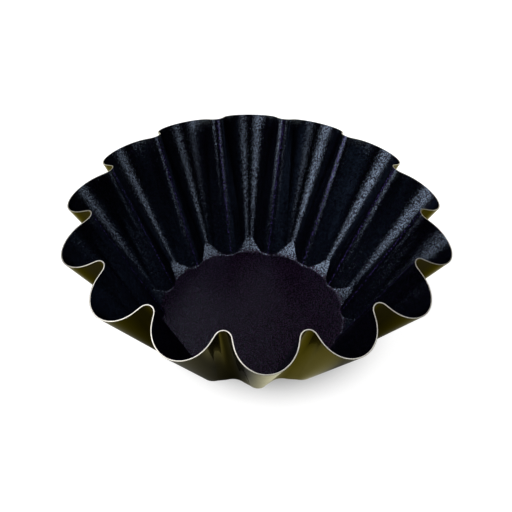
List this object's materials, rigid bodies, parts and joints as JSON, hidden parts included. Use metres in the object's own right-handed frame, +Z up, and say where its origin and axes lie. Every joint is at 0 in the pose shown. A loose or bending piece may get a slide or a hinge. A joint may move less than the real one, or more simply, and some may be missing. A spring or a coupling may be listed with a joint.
{
  "type": "brioche mould",
  "caption": "Round baking mould pressed from one steel sheet: a flat floor and a flared wall of wide lobes and narrow folds, with a non-stick coat inside and lacquer outside.",
  "frame": {"origin": "centre of the underside, on the surface that the mould stands on", "axes": "+Z up along the axis of the mould; one lobe points along -Y and one along +Y, and a fold lies on each side along X"},
  "size_m": [0.2152, 0.2202, 0.0807],
  "materials": {
    "bare_steel": "thin cold-rolled sheet steel, bare only on the bright sheared edge along the rim",
    "nonstick_coat": "sprayed and baked black non-stick polymer coat with a fine orange-peel texture and a soft sheen",
    "bronze_lacquer": "thin glossy olive-bronze baked lacquer over the pressed steel"
  },
  "bodies": {
    "root": {"steel_shell": "bare_steel", "nonstick_lining": "nonstick_coat", "outer_lacquer": "bronze_lacquer"}
  },
  "joints": []
}
